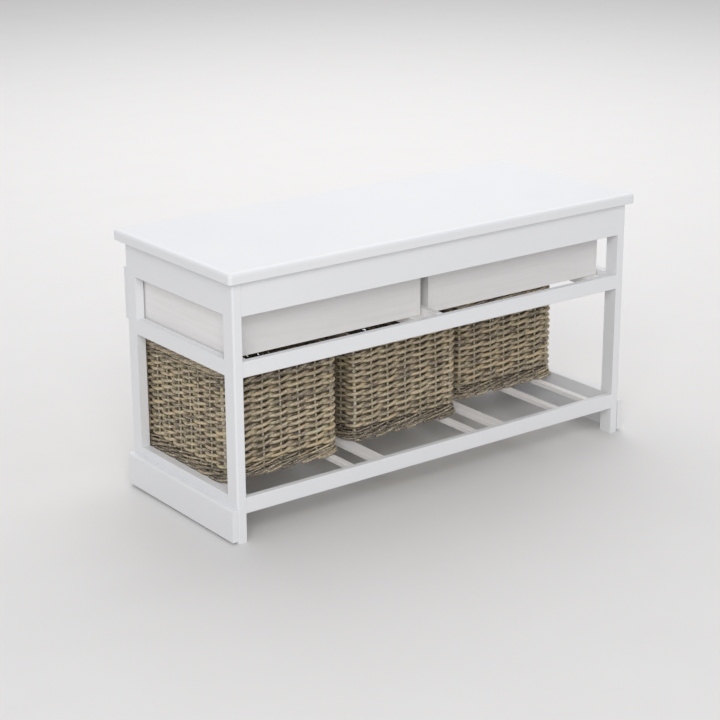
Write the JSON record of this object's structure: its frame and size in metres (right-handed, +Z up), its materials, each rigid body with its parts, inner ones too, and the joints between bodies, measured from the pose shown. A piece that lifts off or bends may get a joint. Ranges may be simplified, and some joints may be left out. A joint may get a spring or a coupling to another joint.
{
  "type": "entryway bench",
  "caption": "Low hallway bench with a flat seat, overlay drawers under it, and open-topped wicker baskets that slide on a slatted shelf; open back and ends.",
  "frame": {"origin": "on the floor, under the centre of the bench's bounding box as it stands with its baskets part-way out", "axes": "+X to the right of a person facing the drawers, along the length; +Y towards the open back; +Z up"},
  "size_m": [0.95, 0.518, 0.5],
  "materials": {
    "white_paint": "satin white paint",
    "whitewashed_wood": "thin matt whitewash, grain showing",
    "wicker": "grey-brown unpeeled willow",
    "brushed_metal": "brushed nickel",
    "zinc_steel": "zinc plated",
    "beech_dowel": "raw beech"
  },
  "bodies": {
    "frame": {"back_apron": "white_paint", "back_bottom_rail": "white_paint", "back_mid_rail": "white_paint", "centre_guide": "whitewashed_wood", "centre_runner": "whitewashed_wood", "end_apron_left": "white_paint", "end_apron_right": "white_paint", "end_bottom_rail_left": "white_paint", "end_bottom_rail_right": "white_paint", "end_mid_rail_left": "white_paint", "end_mid_rail_right": "white_paint", "end_runner_left": "whitewashed_wood", "end_runner_right": "whitewashed_wood", "frame_dowels": "beech_dowel", "front_apron": "white_paint", "front_bottom_rail": "white_paint", "front_centre_post": "white_paint", "front_mid_rail": "white_paint", "leg_back_left": "white_paint", "leg_back_right": "white_paint", "leg_front_left": "white_paint", "leg_front_right": "white_paint", "plinth_left": "white_paint", "plinth_right": "white_paint", "seat_blocks": "whitewashed_wood", "seat_board": "white_paint", "seat_screws": "zinc_steel", "shelf_dowels": "beech_dowel", "shelf_end_slat": "whitewashed_wood", "shelf_middle_slat": "whitewashed_wood", "shelf_narrow_slat_1": "whitewashed_wood", "shelf_narrow_slat_2": "whitewashed_wood", "shelf_narrow_slat_3": "whitewashed_wood", "shelf_wide_slat_1": "whitewashed_wood", "shelf_wide_slat_2": "whitewashed_wood"},
    "drawer_left": {"drawer_left_back": "whitewashed_wood", "drawer_left_bottom": "whitewashed_wood", "drawer_left_front": "white_paint", "drawer_left_inner_side": "whitewashed_wood", "drawer_left_knob": "brushed_metal", "drawer_left_knob_screw": "zinc_steel", "drawer_left_outer_side": "whitewashed_wood"},
    "drawer_right": {"drawer_right_back": "whitewashed_wood", "drawer_right_bottom": "whitewashed_wood", "drawer_right_front": "white_paint", "drawer_right_inner_side": "whitewashed_wood", "drawer_right_knob": "brushed_metal", "drawer_right_knob_screw": "zinc_steel", "drawer_right_outer_side": "whitewashed_wood"},
    "basket_left": {"basket_left_border": "wicker", "basket_left_pull": "wicker", "basket_left_shell": "wicker"},
    "basket_middle": {"basket_middle_border": "wicker", "basket_middle_pull": "wicker", "basket_middle_shell": "wicker"},
    "basket_right": {"basket_right_border": "wicker", "basket_right_pull": "wicker", "basket_right_shell": "wicker"}
  },
  "joints": [
    {"name": "drawer_left_slide", "type": "slide", "parent": "frame", "child": "drawer_left", "axis": [0, -1, 0], "range_m": [0, 0.24]},
    {"name": "drawer_right_slide", "type": "slide", "parent": "frame", "child": "drawer_right", "axis": [0, -1, 0], "range_m": [0, 0.24]},
    {"name": "basket_left_slide", "type": "slide", "parent": "frame", "child": "basket_left", "axis": [0, -1, 0], "range_m": [-0.152, 0.129]},
    {"name": "basket_middle_slide", "type": "slide", "parent": "frame", "child": "basket_middle", "axis": [0, -1, 0], "range_m": [-0.091, 0.19]},
    {"name": "basket_right_slide", "type": "slide", "parent": "frame", "child": "basket_right", "axis": [0, -1, 0], "range_m": [-0.064, 0.217]}
  ]
}
